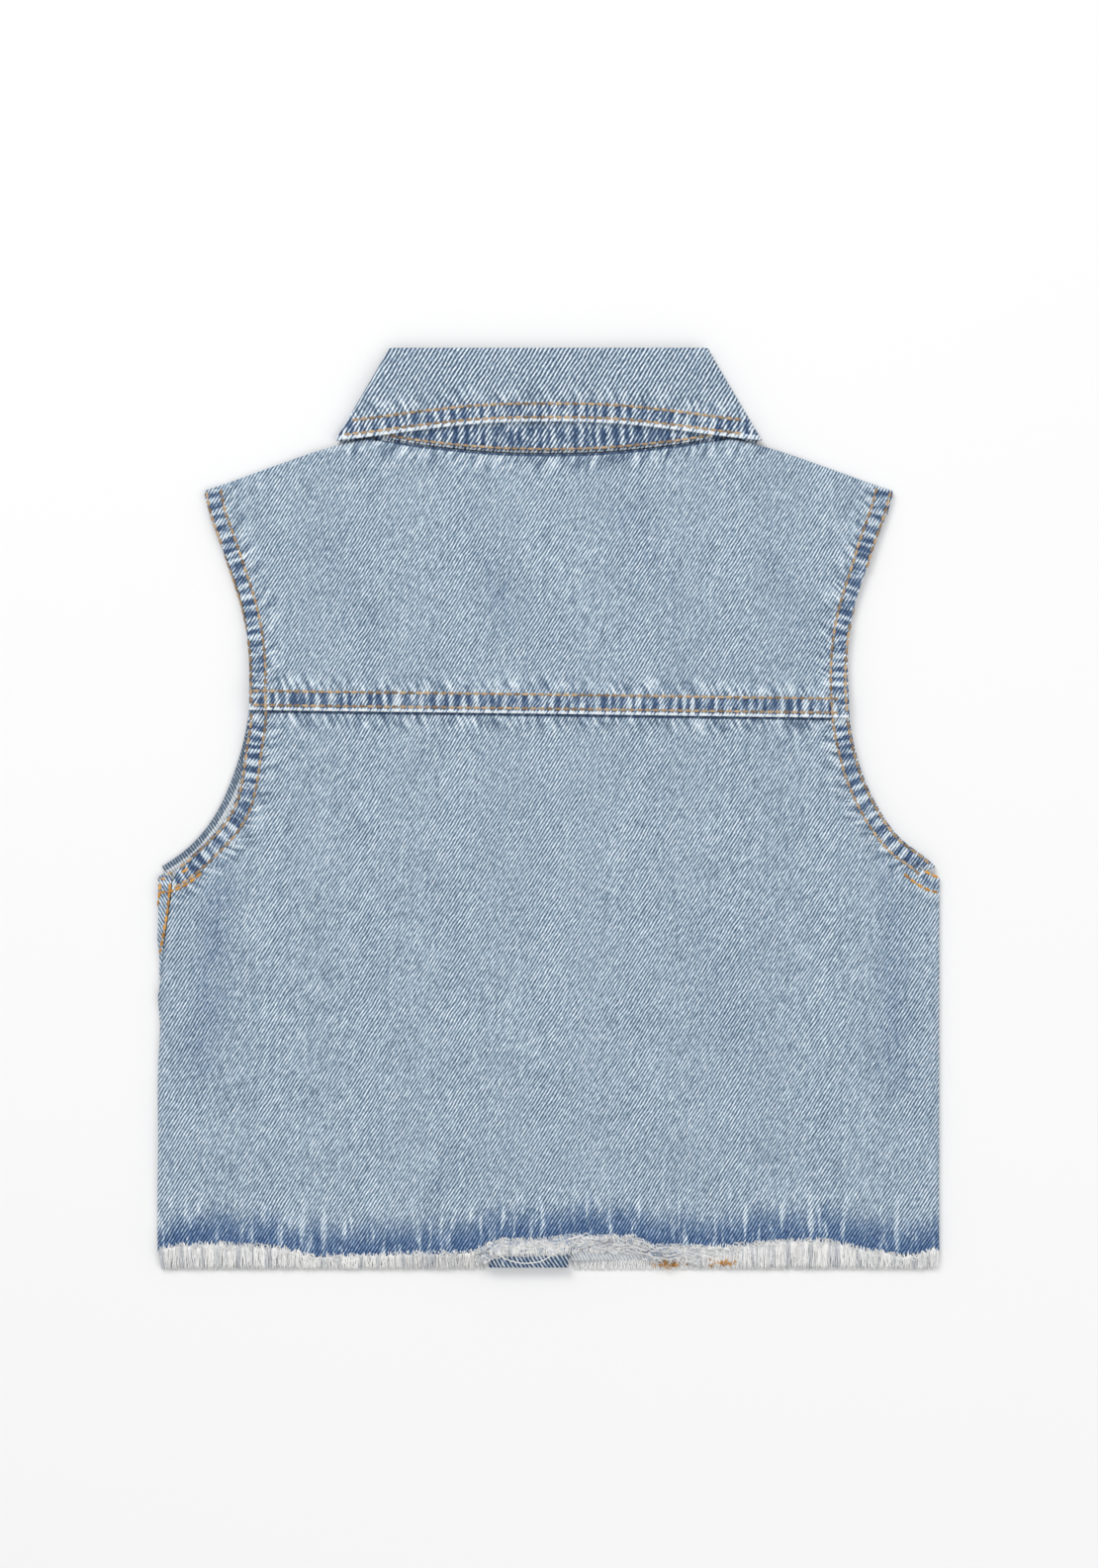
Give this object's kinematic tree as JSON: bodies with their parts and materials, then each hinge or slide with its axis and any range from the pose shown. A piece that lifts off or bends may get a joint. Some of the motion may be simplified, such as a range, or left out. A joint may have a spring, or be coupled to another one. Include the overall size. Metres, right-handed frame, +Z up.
{
  "type": "denim vest laid flat",
  "caption": "Child's cropped sleeveless denim vest, laid flat with its back up, with folded collar, yoke, button front and frayed hem.",
  "frame": {"origin": "on the surface that the vest lies on, below the middle of its outline", "axes": "+X across the vest, +Y from the hem to the collar, +Z up from the surface, out of the back of the vest"},
  "size_m": [0.3556, 0.4201, 0.0098],
  "materials": {
    "denim": "light-wash twill",
    "fray": "loose cotton yarn",
    "thread": "tan sewing thread",
    "button_metal": "antiqued"
  },
  "bodies": {
    "root": {"back_panel": "denim", "back_yoke": "denim", "front_left": "denim", "front_right": "denim", "placket_left": "denim", "placket_right": "denim", "button_1": "button_metal", "button_2": "button_metal", "button_3": "button_metal", "button_4": "button_metal", "button_5": "button_metal", "button_6": "button_metal", "collar_stand": "denim", "collar_leaf": "denim", "back_hem_fringe": "fray", "front_hem_fringe_left": "fray", "front_hem_fringe_right": "fray"}
  },
  "joints": []
}
